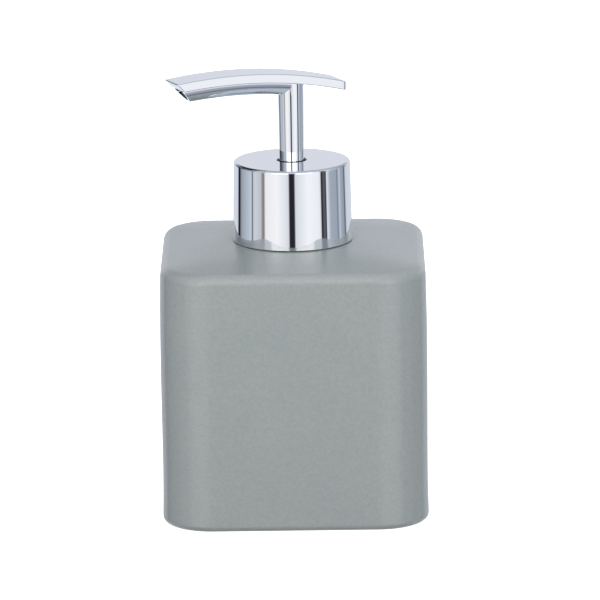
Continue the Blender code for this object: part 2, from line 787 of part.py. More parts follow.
def make_nozzle_liner(material, parent):
    """Thin tube from a plug in the stem, round the bend and along the spout to its mouth."""
    plug_radius = stem_bore_radius - clearance
    bend_top_z = bow_under_z(liner_bend_radius) - liner_drop
    stations = [((0, liner_foot_z), 0, plug_radius), ((0, liner_plug_top_z), 0, plug_radius),
                ((0, liner_plug_top_z + clearance / 2), 0, liner_radius)]
    bend_foot_z = bend_top_z - liner_bend_radius
    for step in range(fillet_steps + 1):
        angle = math.pi / 2 * step / fillet_steps
        stations.append(((liner_bend_radius * (1 - math.cos(angle)),
                          bend_foot_z + liner_bend_radius * math.sin(angle)), angle, liner_radius))
    end = mouth_reach(bow_under_z(bow_tip_reach) - liner_drop) - liner_mouth_setback
    for step in range(1, spout_arc_steps + 1):
        reach = liner_bend_radius + (end - liner_bend_radius) * step / spout_arc_steps
        stations.append(((reach, bow_under_z(reach) - liner_drop), math.pi / 2, liner_radius))

    def ring(place, lean, radius):
        points = []
        for step in range(liner_round_steps):
            angle = math.tau * step / liner_round_steps
            across = radius * math.sin(angle)
            along = radius * math.cos(angle)
            points.append((place[0] + along * math.cos(lean), across, place[1] - along * math.sin(lean)))
        return points
    outside = [ring(*station) for station in stations]
    inside = [ring(place, lean, liner_bore_radius) for place, lean, _ in stations[::-1]]
    return lofted('nozzle_liner', outside + inside, material, parent, closes_on_itself=True)


def make_head_axis():
    """Empty on the pump's axis that carries the turned head."""
    axis = bpy.data.objects.new('head_axis', None)
    bpy.context.scene.collection.objects.link(axis)
    axis.rotation_euler = (0, 0, math.pi + math.radians(head_turn_degrees))
    return axis


def build():
    for old in list(bpy.data.objects):
        bpy.data.objects.remove(old, do_unlink=True)
    stoneware = surface('matte_grey_stoneware', (0.37, 0.40, 0.39), 0.55)
    chrome = surface('bright_chrome_plate', (0.86, 0.87, 0.89), 0.06, 1.0)
    steel = surface('stainless_steel', (0.62, 0.62, 0.61), 0.25, 1.0)
    white_plastic = surface('white_polypropylene', (0.82, 0.82, 0.80), 0.40)
    clear_plastic = surface('milky_polyethylene', (0.78, 0.80, 0.80), 0.35)
    rubber = surface('grey_elastomer', (0.22, 0.22, 0.23), 0.70)
    make_container(stoneware)
    make_neck_ring(white_plastic)
    make_neck_gasket(rubber)
    make_pump_housing(white_plastic)
    make_guide_bush(white_plastic)
    make_stem_wiper(rubber)
    make_keeper(white_plastic)
    inlet_z = ball_height_on_cone(inlet_ball_radius, ball_seat_bore_radius, ball_seat_mouth_radius,
                                  ball_seat_depth, ball_seat_z)
    make_ball('inlet_ball', inlet_ball_radius, inlet_z, steel)
    make_spring(steel)
    make_dip_tube(clear_plastic)
    make_screw_cap(white_plastic)
    make_collar_cover(chrome)
    make_piston(clear_plastic)
    make_spring_follower(white_plastic)
    axis = make_head_axis()
    make_piston_rod(white_plastic, axis)
    discharge_seat_depth = discharge_ball_radius + clearance - rod_bore_radius
    discharge_z = ball_height_on_cone(discharge_ball_radius, rod_bore_radius,
                                      discharge_ball_radius + clearance, discharge_seat_depth,
                                      rod_top_z - discharge_seat_depth)
    make_ball('discharge_ball', discharge_ball_radius, discharge_z, steel, axis)
    make_spout_stem(chrome, axis)
    make_head_bow(chrome, axis)
    make_nozzle_liner(clear_plastic, axis)


build()
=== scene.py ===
# Soap dispenser in a light tent: matt stoneware container, bright chrome lift pump.
# +Z up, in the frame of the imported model. Pieces are shaped in millimetres and finished in metres.

import math

import bmesh
import bpy
from mathutils import Matrix, Vector


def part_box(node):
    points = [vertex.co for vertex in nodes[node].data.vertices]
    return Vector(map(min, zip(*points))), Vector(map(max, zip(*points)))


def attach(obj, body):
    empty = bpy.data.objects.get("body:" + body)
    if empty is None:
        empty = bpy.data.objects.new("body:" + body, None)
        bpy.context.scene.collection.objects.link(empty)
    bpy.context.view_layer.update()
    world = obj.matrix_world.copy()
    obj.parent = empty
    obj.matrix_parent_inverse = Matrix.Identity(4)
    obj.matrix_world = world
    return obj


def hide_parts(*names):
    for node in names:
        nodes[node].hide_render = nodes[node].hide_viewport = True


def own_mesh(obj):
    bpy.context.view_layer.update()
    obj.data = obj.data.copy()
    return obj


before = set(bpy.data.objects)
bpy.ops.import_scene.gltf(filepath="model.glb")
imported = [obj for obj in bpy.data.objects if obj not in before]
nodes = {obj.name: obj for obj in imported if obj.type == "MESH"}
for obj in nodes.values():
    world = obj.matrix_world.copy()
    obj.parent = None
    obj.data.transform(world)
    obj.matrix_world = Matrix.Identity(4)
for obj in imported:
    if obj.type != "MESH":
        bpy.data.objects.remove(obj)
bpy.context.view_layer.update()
MM = 0.001
merge_distance = 0.0005        # millimetres, below which two points are one
cut_tolerance = 0.0001

# Camera, as the photograph was taken
camera_distance = 2.0
camera_elevation = 13.23       # degrees above the horizon
camera_azimuth = 0.35
camera_roll = 0.8
aim_height = 0.070
field_width = 0.1942           # width of the picture at the aim point
aim_pixel = (293.5, 288.3)     # where the aim point lies in the 600 pixel picture
picture_pixels = 600
sensor_width = 36

# Floor
floor_half = 6                 # metres
floor_drop = 0.02              # millimetres below the foot

# Light tent: the shade of its wall by azimuth in degrees from the camera, as the photograph's chrome mirrors it
tent_strength = 1.14
tent_left = [(-180, "#cdd4de"), (-138, "#cfd4de"), (-132, "#c6cbd4"), (-129.8, "#0e1014"), (-125.5, "#0e1014"),
             (-123, "#454a51"), (-119.5, "#848b95"), (-116, "#98a0aa"), (-103, "#acb4bf"), (-91, "#bcc3cd"),
             (-87.4, "#cbd0d8"), (-85.6, "#6b707a"), (-83.9, "#6b707a"), (-82, "#c0c5cd"), (-77, "#cbced6"),
             (-64.5, "#bfc1c6"), (-60.2, "#8a8483"), (-57, "#867d7c"), (-53.8, "#ecebec"), (-30, "#f4f4f5"),
             (-12, "#dfe1e6"), (-7.4, "#d0d4da"), (-5.4, "#26252a"), (0, "#29272c")]
tent_right = [(0, "#29272c"), (3.9, "#2c292e"), (6.1, "#d4d9de"), (14, "#e0e3e8"), (30, "#f3f4f5"), (52, "#ecedf1"),
              (56.7, "#dcdee4"), (58.7, "#2c2e34"), (61.2, "#2a2c31"), (63, "#57575c"), (66.8, "#5a5a5f"),
              (68.3, "#2f3136"), (69.6, "#4a4c52"), (71.6, "#dfe3ea"), (74.3, "#cdd2db"), (76.8, "#bbc2cc"),
              (80, "#a0a8b4"), (96.5, "#9aa2ae"), (99.3, "#707886"), (102.3, "#a6aebb"), (105.5, "#bac2ce"),
              (108.5, "#aab2be"), (112.5, "#9aa2ae"), (119.8, "#949ca8"), (123.4, "#4a515c"), (126, "#808894"),
              (128.4, "#c4cad3"), (136, "#ced3dc"), (180, "#cdd4de")]
tent_high = [(-180, "#d2d5dd"), (-152, "#ced2da"), (-144, "#7c828c"), (-132, "#30343b"), (-118, "#353a41"),
             (-104, "#6c727b"), (-88, "#80868f"), (-72, "#90959d"), (-60, "#858588"), (-57, "#858588"),
             (-53.8, "#b8bcc2"), (-43, "#b8bcc2"), (-38, "#ffffff"), (-8, "#fffefd"), (-6, "#3c3c42"), (5, "#3c3c42"),
             (8, "#ffffff"), (38, "#ffffff"), (43, "#b8bcc2"), (56.7, "#b8bcc2"), (59, "#4c5058"), (69, "#4c5058"),
             (73, "#aeb3bb"), (90, "#b4b9c1"), (110, "#a4aab2"), (126, "#6a717c"), (136, "#ccd1d9"),
             (150, "#d2d5dd"), (180, "#d2d5dd")]
tent_lintel = "#ffffff"
tent_curtain = "#a2a8b2"
tent_roof_front = "#b9c3cf"
tent_roof_back = "#a8aeb8"
tent_dark_corner = "#20242c"
tent_low_front = "#9ca0b2"
tent_floor_front = "#6c7278"
tent_low_back = "#eef1f6"

# Where each shade lies: an axis, and the two values of a unit direction along it between which the shade comes in
high_spans = (("Z", -0.05, 0.03), ("Z", 0.48, 0.38))            # just above the horizon
gain_start, gain_end, soft_box_gain = 0.0, -0.35, 1.75         # along Y: the front boxes there are brighter
lintel_spans = (("Z", 0.305, 0.345), ("Y", -0.80, -0.90))      # over the dark gap in front
curtain_spans = (("Z", 0.28, 0.38), ("Y", 0.45, 0.65))         # on the upper part of the back wall
roof_back_span = ("Y", 0.10, 0.40)
roof_span = ("Z", 0.48, 0.60)
dark_corner_spans = (("X", -0.08, -0.26), ("Y", -0.05, 0.15), ("Z", 0.38, 0.50))    # high up behind, to the left
floor_front_span = ("Z", -0.56, -0.66)
low_back_span = ("Y", -0.1, 0.3)
low_span = ("Z", -0.34, -0.44)

# Soft lamps that the chrome doesn't mirror: place in metres, watts and tint
lamp_size = 0.4
lamps = (("front_lamp", (0, -0.50, 0.52), 2.95, (1.0, 1.0, 1.0)),
         ("back_lamp_left", (-0.50, 0.62, 0.20), 5.0, (0.90, 0.92, 1.0)),
         ("back_lamp_right", (0.50, 0.62, 0.20), 5.0, (0.90, 0.92, 1.0)))

# Container: a square shell with rounded uprights, in millimetres
shell_half = 42.5
shell_corner = 16.0
shell_height = 84.1
shell_wall = 5.0
side_lean = 0.12               # each side leans in by this much from foot to top
side_swell = 0.3
swell_power = 1.8              # how far above the middle the side swells most
foot_flare = 0.35
flare_height = 21
foot_recess = 1.2
recess_inset = 10.4
rim_inset = 9.2
foot_fillet = 2.2
top_fillet = 3.5
inner_fillet = 6.0
crown_rise = 2.3
pad_radius = 20.0
neck_hole = 14.0
neck_chamfer = 0.4
bare_rim = (0.15, 0.45)        # between these heights the glaze begins

# Head, in millimetres along the spout from the pump's axis, and turned about that axis
head_turn = math.radians(180 + 25.0)
bow_lift = 25.76
bow_thickness = 3.0
bow_tail_width = 12.2
bow_tip_width = 10.3
bow_taper_power = 1.5
tip_arc = 170.0                # radius of the bow's underside on the nozzle's side of the crest
tail_arc = 150.0
tip_reach = 41.9
tail_reach = 17.2
crest_reach = 22.9
tip_slant = 0.88
tip_rounding = 0.25
tip_overrun = 3                # bars run on by this much before they are cut at a slant
spout_depth = 4.6
spout_wall = 0.8
spout_root_half = 4.1
spout_tip_half = 3.5
seat_gap = 0.12                # joint line between the bow and the spout
stem_top_radius = 4.17
stem_foot_radius = 4.0
stem_bore = 3.2

# Neck thread, in millimetres
thread_pitch = 4.23
thread_turns = 1.5


def linear(hex_colour):
    """An sRGB hex colour as linear red, green, blue and alpha."""
    parts = [int(hex_colour[i:i + 2], 16) / 255 for i in (1, 3, 5)]
    return tuple(p / 12.92 if p <= 0.04045 else ((p + 0.055) / 1.055) ** 2.4 for p in parts) + (1.0,)


def add_node(tree, kind, inputs=None, **settings):
    """Adds a node, gives it its settings, and sets or links its inputs."""
    node = tree.nodes.new(kind)
    for name, value in settings.items():
        setattr(node, name, value)
    for name, value in (inputs or {}).items():
        if isinstance(value, bpy.types.NodeSocket):
            tree.links.new(value, node.inputs[name])
        else:
            node.inputs[name].default_value = value
    return node


def new_material(name):
    """An empty node material with its output and shader: (material, tree, shader)."""
    material = bpy.data.materials.new(name)
    material.use_nodes = True
    tree = material.node_tree
    tree.nodes.clear()
    shader = add_node(tree, "ShaderNodeBsdfPrincipled")
    add_node(tree, "ShaderNodeOutputMaterial", {"Surface": shader.outputs["BSDF"]})
    return material, tree, shader


def stoneware_material():
    """Slip-cast stoneware under a sprayed matt grey glaze: soft sheen, fine crystals, faint clouds.

    The crystals of such a glaze are finer than 0.9 mm and are drawn that coarse so that they show. The foot rim is
    wiped before firing, so the bare buff body shows on it.
    """
    material, tree, shader = new_material("matt_glazed_stoneware")
    place = add_node(tree, "ShaderNodeTexCoord").outputs["Object"]
    crystals = add_node(tree, "ShaderNodeTexNoise", {"Vector": place, "Scale": 1 / (0.9 * MM), "Detail": 3.0,
                                                     "Roughness": 0.65}).outputs["Fac"]
    clouds = add_node(tree, "ShaderNodeTexNoise", {"Vector": place, "Scale": 1 / (16 * MM), "Detail": 2.0})
    tone = add_node(tree, "ShaderNodeMix", {0: clouds.outputs["Fac"], 6: linear("#919490"), 7: linear("#8a908f")},
                    data_type="RGBA")
    speck = add_node(tree, "ShaderNodeMapRange", {"Value": crystals, "From Min": 0.3, "From Max": 0.7,
                                                  "To Min": 0.94, "To Max": 1.06})
    grained = add_node(tree, "ShaderNodeVectorMath", {0: tone.outputs[2], "Scale": speck.outputs["Result"]},
                       operation="SCALE")
    height = add_node(tree, "ShaderNodeSeparateXYZ", {"Vector": place}).outputs["Z"]
    glazed = add_node(tree, "ShaderNodeMapRange", {"Value": height, "From Min": bare_rim[0] * MM,
                                                   "From Max": bare_rim[1] * MM}).outputs["Result"]
    body = add_node(tree, "ShaderNodeMix", {0: glazed, 6: linear("#c9c0b0"), 7: grained.outputs["Vector"]},
                    data_type="RGBA")
    tree.links.new(body.outputs[2], shader.inputs["Base Color"])
    gloss = add_node(tree, "ShaderNodeMapRange", {"Value": crystals, "To Min": 0.20, "To Max": 0.28})
    dry = add_node(tree, "ShaderNodeMapRange", {"Value": glazed, "To Min": 0.85, "To Max": gloss.outputs["Result"]})
    tree.links.new(dry.outputs["Result"], shader.inputs["Roughness"])
    bump = add_node(tree, "ShaderNodeBump", {"Height": crystals, "Strength": 0.12, "Distance": 0.05 * MM})
    tree.links.new(bump.outputs["Normal"], shader.inputs["Normal"])
    shader.inputs["IOR"].default_value = 1.55
    return material


def chrome_material():
    """Bright chrome plate over polished metal: a clean mirror with the faintest polishing haze."""
    material, tree, shader = new_material("bright_chrome_plate")
    place = add_node(tree, "ShaderNodeTexCoord").outputs["Object"]
    haze = add_node(tree, "ShaderNodeTexNoise", {"Vector": place, "Scale": 1 / (6 * MM), "Detail": 2.0})
    gloss = add_node(tree, "ShaderNodeMapRange", {"Value": haze.outputs["Fac"], "To Min": 0.015, "To Max": 0.05})
    tree.links.new(gloss.outputs["Result"], shader.inputs["Roughness"])
    shader.inputs["Base Color"].default_value = linear("#eef0f3")
    shader.inputs["Metallic"].default_value = 1.0
    return material


def steel_material():
    """Drawn stainless wire and ground balls: grey metal with fine die lines."""
    material, tree, shader = new_material("drawn_stainless_steel")
    place = add_node(tree, "ShaderNodeTexCoord").outputs["Object"]
    lines = add_node(tree, "ShaderNodeTexNoise", {"Vector": place, "Scale": 1 / (0.12 * MM), "Detail": 2.0})
    gloss = add_node(tree, "ShaderNodeMapRange", {"Value": lines.outputs["Fac"], "To Min": 0.18, "To Max": 0.34})
    tree.links.new(gloss.outputs["Result"], shader.inputs["Roughness"])
    shader.inputs["Base Color"].default_value = linear("#c4c3bf")
    shader.inputs["Metallic"].default_value = 1.0
    return material


def moulded_material(name, first, second, rough, grain, depth, see_through=0.0):
    """Moulded plastic or rubber: a faint flow of two close shades and the fine grain of the mould's wall."""
    material, tree, shader = new_material(name)
    place = add_node(tree, "ShaderNodeTexCoord").outputs["Object"]
    flow = add_node(tree, "ShaderNodeTexNoise", {"Vector": place, "Scale": 1 / (7 * MM), "Detail": 2.0})
    tone = add_node(tree, "ShaderNodeMix", {0: flow.outputs["Fac"], 6: linear(first), 7: linear(second)},
                    data_type="RGBA")
    tree.links.new(tone.outputs[2], shader.inputs["Base Color"])
    wall = add_node(tree, "ShaderNodeTexNoise", {"Vector": place, "Scale": 1 / (grain * MM), "Detail": 2.0})
    gloss = add_node(tree, "ShaderNodeMapRange", {"Value": wall.outputs["Fac"], "To Min": rough - 0.07,
                                                  "To Max": rough + 0.07})
    tree.links.new(gloss.outputs["Result"], shader.inputs["Roughness"])
    bump = add_node(tree, "ShaderNodeBump", {"Height": wall.outputs["Fac"], "Strength": 0.2, "Distance": depth * MM})
    tree.links.new(bump.outputs["Normal"], shader.inputs["Normal"])
    shader.inputs["IOR"].default_value = 1.49
    shader.inputs["Transmission Weight"].default_value = see_through
    return material


def finished(name, bm, material, body, replaced, sharp=30):
    """Makes a finished piece of a bmesh in millimetres, with its material, its body and the node it stands for."""
    bmesh.ops.scale(bm, verts=bm.verts[:], vec=(MM, MM, MM))
    bmesh.ops.remove_doubles(bm, verts=bm.verts[:], dist=merge_distance * MM)
    bmesh.ops.recalc_face_normals(bm, faces=bm.faces[:])
    if bm.calc_volume(signed=True) < 0:
        bmesh.ops.reverse_faces(bm, faces=bm.faces[:])
    mesh = bpy.data.meshes.new(name)
    bm.to_mesh(mesh)
    bm.free()
    mesh.shade_smooth()
    mesh.set_sharp_from_angle(angle=math.radians(sharp))
    mesh.materials.append(material)
    piece = bpy.data.objects.new(name, mesh)
    bpy.context.scene.collection.objects.link(piece)
    flats = piece.modifiers.new("flat_faces_stay_flat", "WEIGHTED_NORMAL")
    flats.keep_sharp = True
    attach(piece, body)
    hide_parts(replaced)
    return piece


def spun(profile, steps):
    """A bmesh turned once round the Z axis from an outline of (radius, height) points."""
    bm = bmesh.new()
    points = [bm.verts.new((radius, 0, height)) for radius, height in profile]
    edges = [bm.edges.new(pair) for pair in zip(points, points[1:])]
    if profile[0][0] > 0:
        edges.append(bm.edges.new((points[-1], points[0])))
    bmesh.ops.spin(bm, geom=points + edges, cent=(0, 0, 0), axis=(0, 0, 1), angle=math.tau, steps=steps,
                   use_merge=True)
    bmesh.ops.remove_doubles(bm, verts=bm.verts[:], dist=merge_distance)
    bmesh.ops.recalc_face_normals(bm, faces=bm.faces[:])
    return bm


def arc(centre, radius, start, end, steps):
    """Points of an arc in the (radius, height) plane, from one angle to another in degrees."""
    return [(centre[0] + radius * math.cos(math.radians(start + (end - start) * i / steps)),
             centre[1] + radius * math.sin(math.radians(start + (end - start) * i / steps)))
            for i in range(steps + 1)]


def swept(bm, rows, place):
    """Extrudes a ring of edges once for each row, puts its points where place(point, row) says, and caps it."""
    outline = bm.verts.layers.float_vector.new("outline")
    for vert in bm.verts:
        vert[outline] = vert.co
    verts, edges = bm.verts[:], bm.edges[:]
    first = edges
    for index, row in enumerate(rows):
        if index:
            grown = bmesh.ops.extrude_edge_only(bm, edges=edges)["geom"]
            verts = [part for part in grown if isinstance(part, bmesh.types.BMVert)]
            edges = [part for part in grown if isinstance(part, bmesh.types.BMEdge) and part.is_boundary]
        for vert in verts:
            vert.co = place(Vector(vert[outline]), row)
    for end in (first, edges):
        bmesh.ops.edgeloop_fill(bm, edges=end)
    bmesh.ops.recalc_face_normals(bm, faces=bm.faces[:])
    return bm


def carved(solid, steps):
    """A bmesh after exact Booleans: each step is an operation and the bmesh that it takes."""
    def stand(bm, name):
        mesh = bpy.data.meshes.new(name)
        bm.to_mesh(mesh)
        bm.free()
        form = bpy.data.objects.new(name, mesh)
        bpy.context.scene.collection.objects.link(form)
        return form
    form = stand(solid, "form")
    cutters = []
    for operation, other in steps:
        cutters.append(stand(other, "cutter"))
        step = form.modifiers.new(operation, "BOOLEAN")
        step.operation = operation
        step.solver = "EXACT"
        step.object = cutters[-1]
    result = bmesh.new()
    result.from_object(form, bpy.context.evaluated_depsgraph_get())
    for used in [form] + cutters:
        mesh = used.data
        bpy.data.objects.remove(used, do_unlink=True)
        bpy.data.meshes.remove(mesh)
    return result


def span(node):
    """Lowest and highest corner of a CAD node, in millimetres."""
    low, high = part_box(node)
    return Vector(low) / MM, Vector(high) / MM


def side_inset(height):
    """How far the container's side lies inside its square at a height: a slight lean, a swell and a flared foot."""
    share = height / shell_height
    swell = side_swell * math.sin(math.pi * share ** swell_power)
    return side_lean * share ** 2 - swell - foot_flare * max(1 - height / flare_height, 0) ** 2


def crown(inset, edge_height, steps):
    """Rows of a shallow dome, from a drawn-in square to the round pad in its middle."""
    inner_share = pad_radius / (shell_half - inset)
    rows = []
    for step in range(1, steps + 1):
        share = step / steps
        distance = 1 - share * (1 - inner_share)
        rise = crown_rise * (1 - distance ** 2) / (1 - inner_share ** 2)
        rows.append((inset, pad_radius, share, edge_height + rise))
    return rows


def make_container(material):
    """One cast shell: foot rim round a recess, swelling sides, soft top edge, domed top, neck hole and the hollow.

    A row says how far the square is drawn in, which circle it turns into, the circle's share, and the height.
    """
    corner_steps, foot_steps, side_steps, edge_steps, crown_steps, inner_steps = 12, 8, 24, 10, 16, 6
    side_cuts = 13

    def place(outline, row):
        inset, radius, share, height = row
        core = shell_half - shell_corner
        centre = Vector((max(min(outline.x, core), -core), max(min(outline.y, core), -core), 0))
        square = centre + (outline - centre).normalized() * (shell_corner - inset)
        spot = square.lerp(outline.normalized() * radius, share)
        return Vector((spot.x, spot.y, height))
    rows = [(0, pad_radius, 1, foot_recess), (recess_inset, 0, 0, foot_recess), (rim_inset, 0, 0, 0)]
    for step in range(foot_steps + 1):
        turn = math.pi / 2 * step / foot_steps
        height = foot_fillet * (1 - math.cos(turn))
        rows.append((foot_fillet * (1 - math.sin(turn)) + side_inset(height), 0, 0, height))
    side_top = shell_height - top_fillet
    for step in range(1, side_steps):
        height = foot_fillet + (side_top - foot_fillet) * step / side_steps
        rows.append((side_inset(height), 0, 0, height))
    top_inset = side_inset(side_top)
    slope = math.atan2(2 * crown_rise, shell_half - top_fillet - top_inset)
    for step in range(edge_steps + 1):
        turn = (math.pi / 2 - slope) * step / edge_steps
        rows.append((top_fillet * (1 - math.cos(turn)) + top_inset, 0, 0, side_top + top_fillet * math.sin(turn)))
    rows += crown(top_fillet + top_inset, shell_height, crown_steps)
    pad = shell_height + crown_rise
    rows += [(0, neck_hole + neck_chamfer, 1, pad), (0, neck_hole, 1, pad - neck_chamfer),
             (0, neck_hole, 1, pad - shell_wall)]
    ceiling, floor = shell_height - shell_wall, foot_recess + shell_wall
    rows += crown(shell_wall + inner_fillet, ceiling, crown_steps // 2)[::-1]
    for step in range(inner_steps + 1):
        turn = math.pi / 2 * (1 - step / inner_steps)
        rows.append((shell_wall + inner_fillet * (1 - math.cos(turn)), 0, 0,
                     ceiling - inner_fillet * (1 - math.sin(turn))))
    for step in range(inner_steps + 1):
        turn = math.pi / 2 * step / inner_steps
        rows.append((shell_wall + inner_fillet * (1 - math.cos(turn)), 0, 0,
                     floor + inner_fillet * (1 - math.sin(turn))))
    rows.append((0, pad_radius, 1, floor))
    bm = bmesh.new()
    bmesh.ops.create_grid(bm, x_segments=1, y_segments=1, size=shell_half)
    bmesh.ops.bevel(bm, geom=bm.verts[:], offset=shell_corner, segments=corner_steps, profile=0.5,
                    affect="VERTICES", material=-1)
    sides = [edge for edge in bm.edges if edge.calc_length() > shell_corner]
    bmesh.ops.subdivide_edges(bm, edges=sides, cuts=side_cuts)
    bmesh.ops.delete(bm, geom=bm.faces[:], context="FACES_ONLY")
    return finished("container_glazed", swept(bm, rows, place), material, "container_body", "container")


def make_collar_cover(material):
    """Tall chrome cup with a small rolled edge and the hole that the stem slides in."""
    low, high = span("collar_cover")
    foot_radius, top, foot = high.x, high.z, low.z
    taper, wall, plate, edge, hole, lip = 0.53, 1.1, 1.3, 0.9, 4.85, 0.12
    top_radius = foot_radius - taper
    profile = [(hole, top - lip), (hole + lip, top)]
    profile += arc((top_radius - edge, top - edge), edge, start=90, end=0, steps=8)
    profile += [(foot_radius - lip / 4, foot + lip), (foot_radius - lip, foot), (top_radius - wall, foot),
                (top_radius - wall, top - plate), (hole, top - plate)]
    return finished("collar_cover_polished", spun(profile, steps=256), material, "closure", "collar_cover")


def under_bow(reach):
    """Height of the bow's underside above the collar's top: two arcs that meet at its crest."""
    def drop(at):
        radius = tip_arc if at > crest_reach else tail_arc
        return radius - math.sqrt(radius ** 2 - (at - crest_reach) ** 2)
    return bow_lift + drop(0) - drop(reach)


def make_head_bow(material, collar_top):
    """Arched flat bar with soft edges, a rounded tail and a slanted end."""
    edge, tail_corner, tail_thinning = 0.35, 1.2, 0.9
    ring_steps, tail_steps, length_steps = 24, 12, 64

    def place(outline, row):
        reach, drawn_in, thinned = row
        share = max((reach + tail_reach) / (tip_reach + tail_reach), 0)
        width = bow_tail_width - (bow_tail_width - bow_tip_width) * share ** bow_taper_power
        half = width / 2 - drawn_in
        deep = bow_thickness / 2 - thinned
        across = math.copysign(half - edge, outline.x) + edge * outline.x
        up = math.copysign(deep - edge, outline.y) + edge * outline.y
        return Vector((reach, across, collar_top + under_bow(reach) + bow_thickness / 2 + up))
    rows = []
    for step in range(tail_steps + 1):
        turn = math.pi / 2 * step / tail_steps
        travel = tail_corner * (1 - math.cos(turn))
        thinned = edge - math.sqrt(max(edge ** 2 - max(edge - travel, 0) ** 2, 0))
        rows.append((travel - tail_reach, tail_corner * (1 - math.sin(turn)), thinned * tail_thinning))
    start, end = tail_corner - tail_reach, tip_reach + tip_overrun
    rows += [(start + (end - start) * step / length_steps, 0, 0) for step in range(1, length_steps + 1)]
    bm = bmesh.new()
    bmesh.ops.create_circle(bm, segments=ring_steps, radius=1)
    bmesh.ops.rotate(bm, verts=bm.verts[:], matrix=Matrix.Rotation(math.pi / ring_steps, 3, "Z"))
    swept(bm, rows, place)
    cut_tip(bm, collar_top, tip_rounding)
    turn_head(bm)
    return finished("head_bow_polished", bm, material, "head", "head_bow")


def cut_tip(bm, collar_top, rounding=0.0):
    """Cuts a bar of the head along the slanted plane of the mouth, closes the cut and rounds its rim."""
    top = Vector((tip_reach, 0, collar_top + under_bow(tip_reach) + bow_thickness))
    along = Vector((1, 0, -tip_slant)).normalized()
    outline = bm.verts.layers.float_vector["outline"]
    rim_steps = 4
    drawn_in = []
    for step in range(rim_steps + 1 if rounding else 1):
        turn = math.pi / 2 * step / rim_steps
        cut = bmesh.ops.bisect_plane(bm, geom=bm.verts[:] + bm.edges[:] + bm.faces[:], dist=cut_tolerance,
                                     plane_co=top - along * rounding * (1 - math.cos(turn)), plane_no=along,
                                     clear_outer=step == 0)["geom_cut"]
        if step == 0:
            rim = [part for part in cut if isinstance(part, bmesh.types.BMEdge)]
        drawn_in += [(part, rounding * (1 - math.sin(turn))) for part in cut if isinstance(part, bmesh.types.BMVert)]
    for vert, depth in drawn_in:
        vert.co -= depth * Vector((0, vert[outline].x, vert[outline].y))
    bmesh.ops.edgeloop_fill(bm, edges=rim)


def turn_head(bm):
    """Turns a piece of the head about the pump's axis, to where the nozzle points."""
    bmesh.ops.rotate(bm, verts=bm.verts[:], cent=(0, 0, 0), matrix=Matrix.Rotation(head_turn, 3, "Z"))


def trough(collar_top, wall, overlap, end):
    """The spout's half-round bar, narrower towards the tip, drawn in all round by a wall."""
    steps, ring_steps = 56, 64

    def place(outline, reach):
        half = spout_root_half - (spout_root_half - spout_tip_half) * max(reach, 0) / tip_reach - wall
        under = collar_top + under_bow(reach)
        up = overlap if outline.y > merge_distance else outline.y * (spout_depth - wall)
        return Vector((reach, outline.x * half, under + up))
    bm = bmesh.new()
    bmesh.ops.create_circle(bm, segments=ring_steps, radius=1)
    return swept(bm, [end * step / steps for step in range(steps + 1)], place)


def make_spout_stem(material, collar_top):
    """Stem tube and half-round spout, mitred into each other, open below the bow and at the slanted mouth."""
    foot = span("spout_stem")[0].z
    crest = collar_top + under_bow(crest_reach)
    stem_under = collar_top + under_bow(0)
    spout_overlap, channel_overlap, bore_overrun = 1.5, 3.0, 2
    seat_start, seat_end, seat_half, seat_height = -9, 47, 12, 6
    stem = spun([(0, crest), (stem_top_radius, crest), (stem_top_radius, stem_under - spout_depth),
                 (stem_foot_radius, collar_top), (stem_foot_radius, foot), (0, foot)], steps=128)
    spout = trough(collar_top, 0, spout_overlap, tip_reach + tip_overrun)
    cut_tip(spout, collar_top)
    channel = trough(collar_top, spout_wall, channel_overlap, tip_reach + 2 * tip_overrun)
    bore = spun([(0, stem_under), (stem_bore, stem_under), (stem_bore, foot - bore_overrun),
                 (0, foot - bore_overrun)], steps=64)

    def seat_place(outline, reach):
        height = collar_top + under_bow(reach) - seat_gap if outline.y < 0 else crest + seat_height
        return Vector((reach, outline.x * seat_half, height))
    seat = bmesh.new()
    bmesh.ops.create_grid(seat, x_segments=1, y_segments=1, size=1)
    bmesh.ops.delete(seat, geom=seat.faces[:], context="FACES_ONLY")
    swept(seat, range(seat_start, seat_end + 1), seat_place)
    bm = carved(stem, [("UNION", spout), ("DIFFERENCE", channel), ("DIFFERENCE", bore), ("DIFFERENCE", seat)])
    turn_head(bm)
    return finished("spout_stem_polished", bm, material, "head", "spout_stem")


def make_neck_ring(material):
    """Threaded ring in the container's neck: flange, spigot and one and a half turns of a right-hand thread."""
    low, high = span("neck_ring")
    bore, neck, spigot, flange, chamfer, neck_flare = 11.0, 13.4, 13.7, 16.8, 0.5, 0.3
    flange_drop, flange_thickness, thread_root, thread_depth, thread_lift = 6.0, 1.5, 13.3, 0.55, 2.2
    flange_foot = low.z + flange_drop
    flange_top = flange_foot + flange_thickness
    profile = [(bore, high.z), (neck - chamfer, high.z), (neck, high.z - chamfer), (neck, flange_top + neck_flare),
               (spigot, flange_top), (flange - chamfer, flange_top), (flange, flange_top - chamfer),
               (flange, flange_foot), (spigot, flange_foot), (spigot, low.z + chamfer), (spigot - chamfer, low.z),
               (bore, low.z)]
    bm = spun(profile, steps=128)
    add_thread(bm, thread_root, thread_depth, flange_top + thread_lift)
    return finished("neck_ring_threaded", bm, material, "container_body", "neck_ring")


